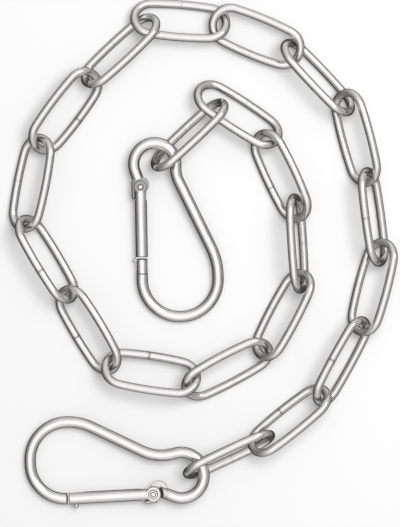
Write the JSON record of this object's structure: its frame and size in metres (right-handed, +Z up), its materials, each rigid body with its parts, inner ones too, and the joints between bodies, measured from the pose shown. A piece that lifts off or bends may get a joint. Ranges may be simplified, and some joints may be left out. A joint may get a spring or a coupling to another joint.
{
  "type": "long-link chain with a snap hook at each end",
  "caption": "Bright steel long-link chain laid in a clockwise spiral, with a spring snap hook joined to each end link.",
  "frame": {"origin": "on the floor that the chain lies on, under the middle of its overall box", "axes": "+Z up from the floor, +Y along the long way of the spiral towards the side away from the outer hook, +X to the right of that"},
  "size_m": [0.2062, 0.271, 0.0235],
  "materials": {
    "link": "bright, smooth and glossy round wire",
    "hook_rod": "bright, smooth and glossy bent rod",
    "hook_gate": "bright, smooth and glossy turned bar",
    "hook_rivet": "pressed steel head, slightly duller than the rod"
  },
  "bodies": {
    "chain": {"link_01": "link", "link_02": "link", "link_03": "link", "link_04": "link", "link_05": "link", "link_06": "link", "link_07": "link", "link_08": "link", "link_09": "link", "link_10": "link", "link_11": "link", "link_12": "link", "link_13": "link", "link_14": "link", "link_15": "link", "link_16": "link", "link_17": "link", "link_18": "link", "link_19": "link", "link_20": "link", "link_21": "link", "snap_hook_a_body": "hook_rod", "snap_hook_a_rivet": "hook_rivet", "snap_hook_b_body": "hook_rod", "snap_hook_b_rivet": "hook_rivet"},
    "gate_a": {"snap_hook_a_gate": "hook_gate"},
    "gate_b": {"snap_hook_b_gate": "hook_gate"}
  },
  "joints": [
    {"name": "gate_a_hinge", "type": "hinge", "parent": "chain", "child": "gate_a", "pos_m": [-0.03287, 0.0353, 0.00705], "axis": [0.001, -0.0583, 0.9983], "range_deg": [0, 27], "stiffness_Nm_per_rad": 0.12, "springref_deg": -20.05},
    {"name": "gate_b_hinge", "type": "hinge", "parent": "chain", "child": "gate_b", "pos_m": [-0.02587, -0.1279, 0.00708], "axis": [0.0626, 0.0038, -0.998], "range_deg": [0, 27], "stiffness_Nm_per_rad": 0.12, "springref_deg": -20.05}
  ]
}
